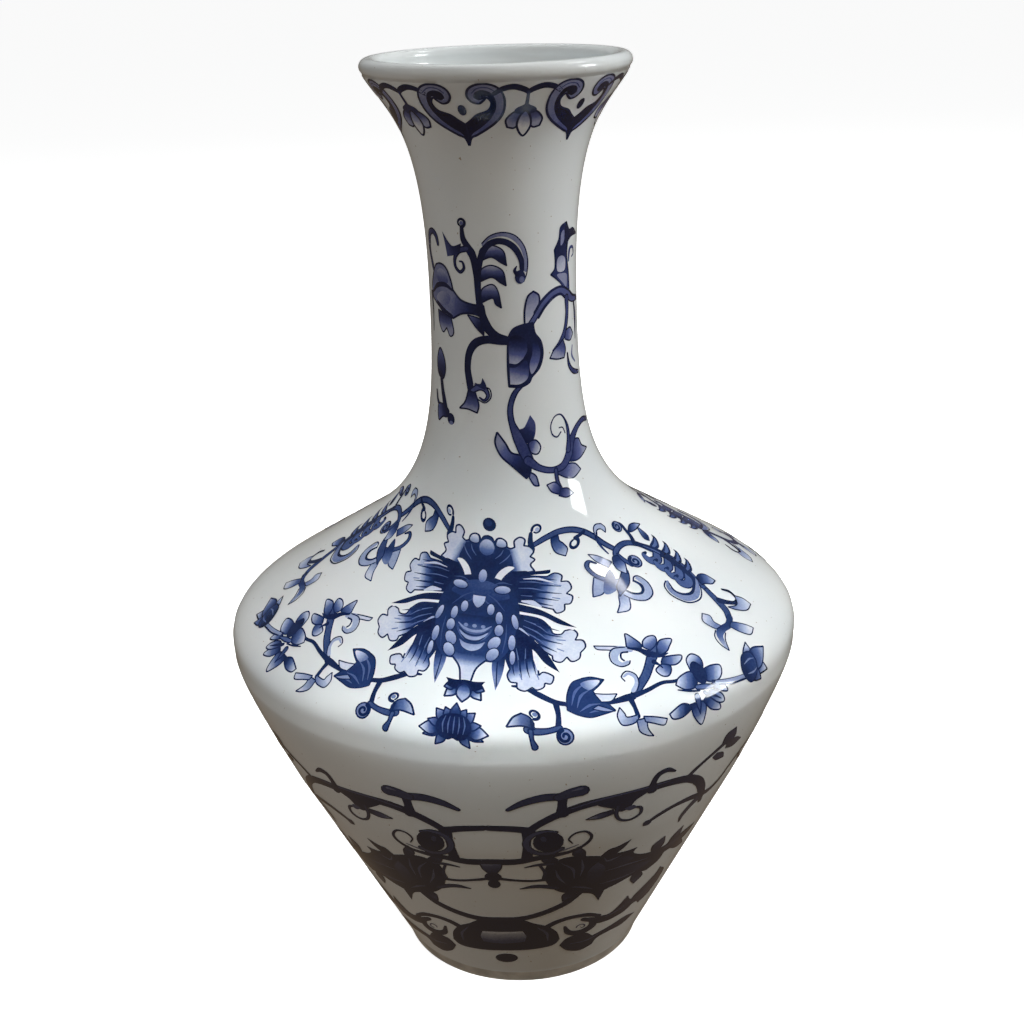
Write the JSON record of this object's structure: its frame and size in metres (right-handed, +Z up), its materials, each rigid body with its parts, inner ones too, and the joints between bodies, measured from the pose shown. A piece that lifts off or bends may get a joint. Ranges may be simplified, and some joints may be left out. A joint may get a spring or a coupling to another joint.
{
  "type": "porcelain vase",
  "caption": "Blue-and-white porcelain bottle vase with a flared neck, rolled lip, sharp shoulder and cone body, decorated all round with scrolling lotus print.",
  "frame": {"origin": "middle of the foot, on the surface that the vase stands on", "axes": "+Z up along the axis of revolution; -Y towards the side with the lotus flower"},
  "size_m": [0.1866, 0.1866, 0.3],
  "materials": {
    "glazed_porcelain": "gloss",
    "bare_porcelain": "matt, unglazed",
    "cobalt_print": "gloss, print under the glaze"
  },
  "bodies": {
    "root": {"foot_ring": "bare_porcelain", "foot_slip_seam": "bare_porcelain", "base_floor": "glazed_porcelain", "floor_slip_seam": "bare_porcelain", "lower_body": "glazed_porcelain", "belly_slip_seam": "bare_porcelain", "shoulder": "glazed_porcelain", "neck_slip_seam": "bare_porcelain", "neck": "glazed_porcelain", "lip_slip_seam": "bare_porcelain", "lip_rim": "glazed_porcelain", "band_transfer": "cobalt_print", "shoulder_transfer": "cobalt_print", "neck_transfer": "cobalt_print", "border_transfer": "cobalt_print"}
  },
  "joints": []
}
